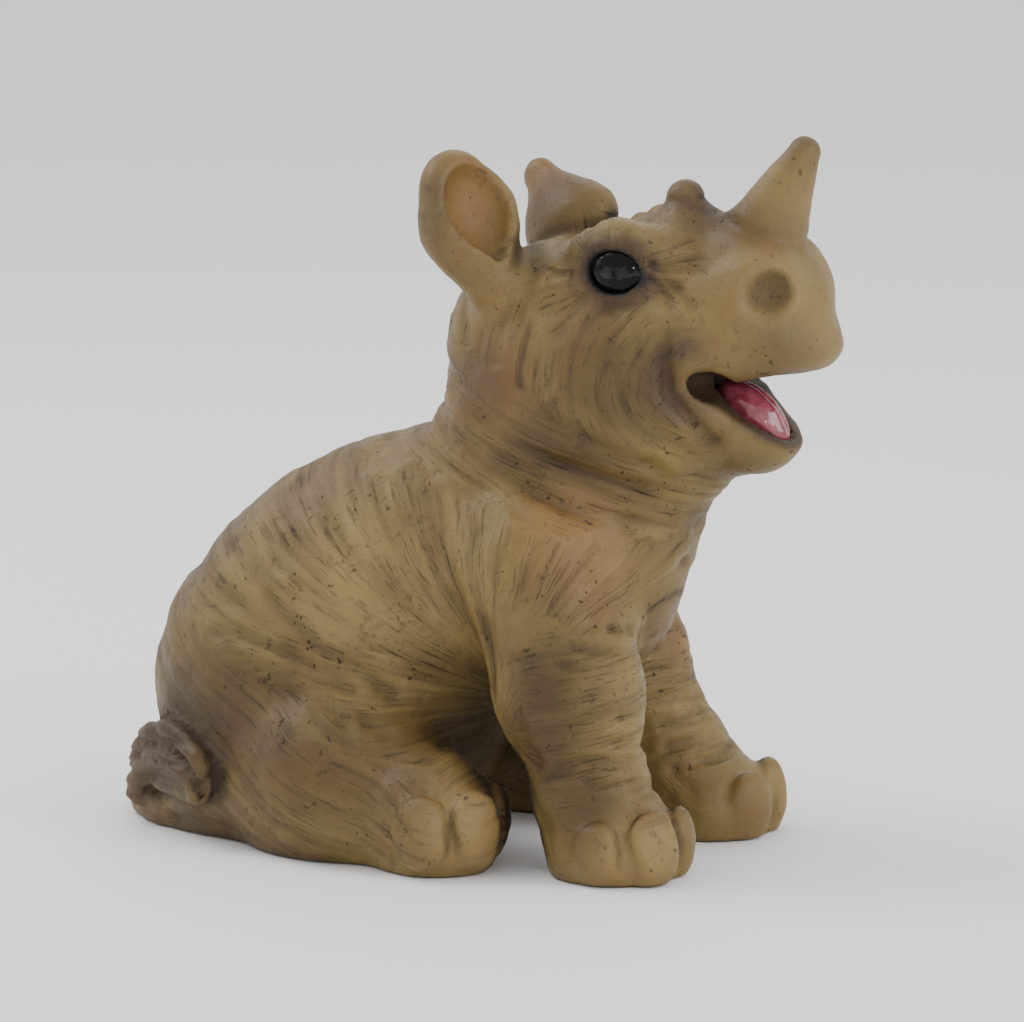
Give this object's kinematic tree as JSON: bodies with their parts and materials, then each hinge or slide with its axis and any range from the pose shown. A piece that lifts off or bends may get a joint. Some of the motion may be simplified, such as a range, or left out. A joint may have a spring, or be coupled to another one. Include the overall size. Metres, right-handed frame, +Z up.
{
  "type": "rhinoceros figurine",
  "caption": "Seated baby rhinoceros figurine, cast in one piece, propped on straight front legs with its head lifted and its mouth open.",
  "frame": {"origin": "on the surface it stands on, under the centre of the figurine's box", "axes": "+X forward, the way the calf faces; +Y to the calf's left; +Z up"},
  "size_m": [0.0802, 0.0486, 0.0749],
  "materials": {
    "resin": "painted cast resin, brown-olive with a darker wash in the creases, satin"
  },
  "bodies": {
    "root": {"rhinoceros_figurine": "resin"}
  },
  "joints": []
}
